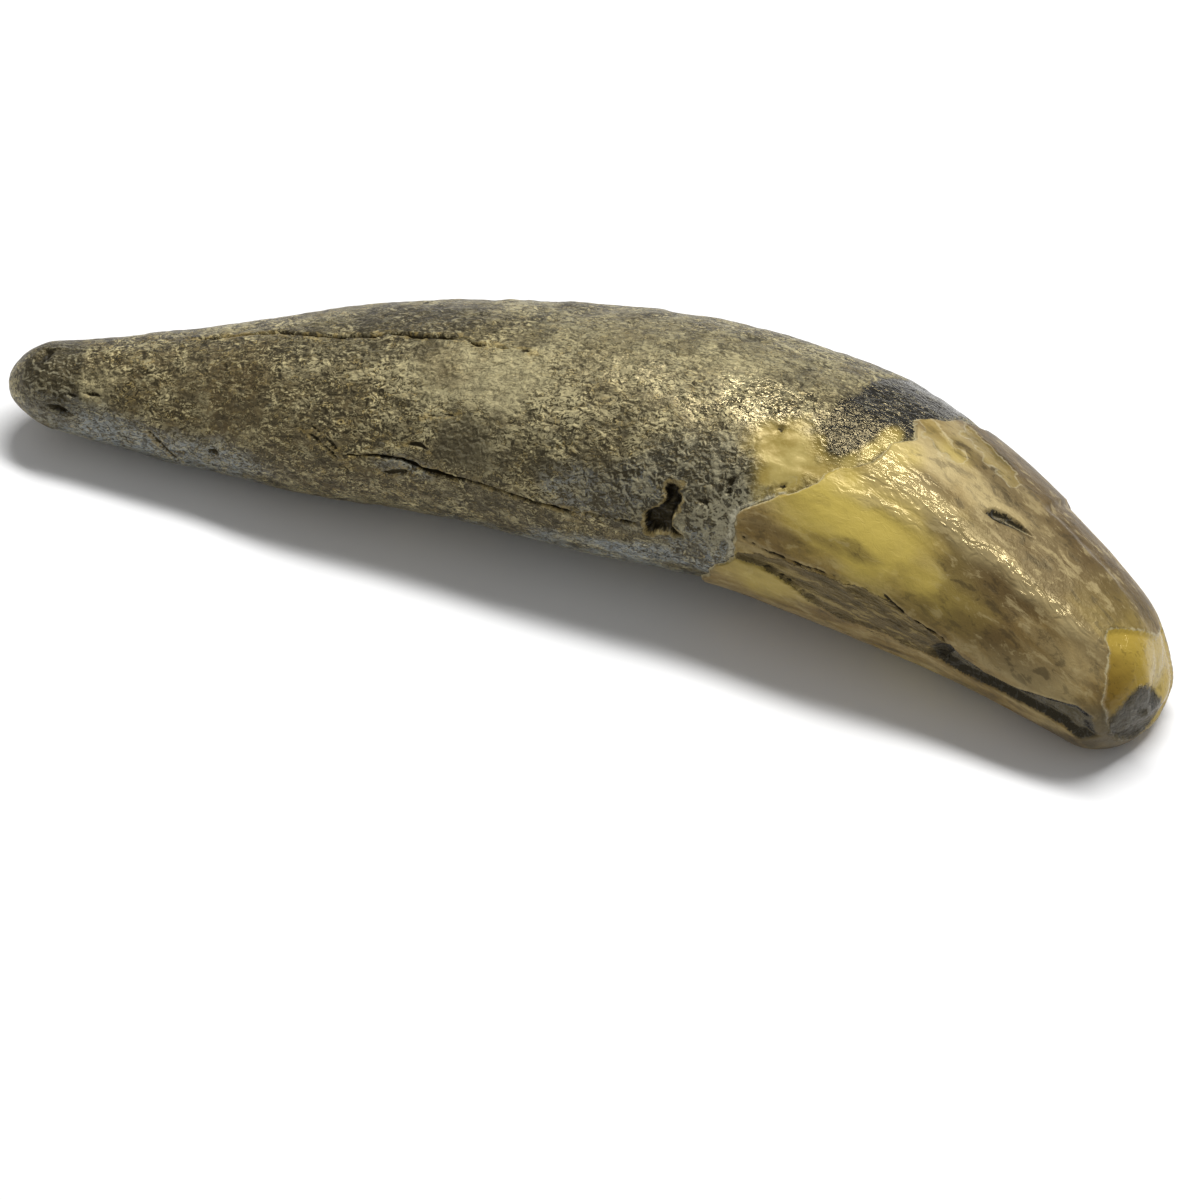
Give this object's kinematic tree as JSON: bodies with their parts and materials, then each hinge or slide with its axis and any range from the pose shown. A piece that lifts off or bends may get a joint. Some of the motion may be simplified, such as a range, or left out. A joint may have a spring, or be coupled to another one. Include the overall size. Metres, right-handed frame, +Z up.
{
  "type": "fossil cave bear tooth",
  "caption": "Fossil canine tooth of a cave bear: long tapering root, short curved crown with a chipped, worn tip and a broken enamel edge, lying on its side.",
  "frame": {"origin": "centre of the bounding box's base, on the surface the tooth lies on", "axes": "+X from the root's end to the crown's tip, the longest extent; +Y towards the outer, convex curve; +Z up, the shortest extent"},
  "size_m": [0.114, 0.032, 0.0198],
  "materials": {
    "tooth": "mineralised root, olive grey and brown, low polish; yellow-brown glossy enamel on the crown"
  },
  "bodies": {
    "root": {"tooth": "tooth"}
  },
  "joints": []
}
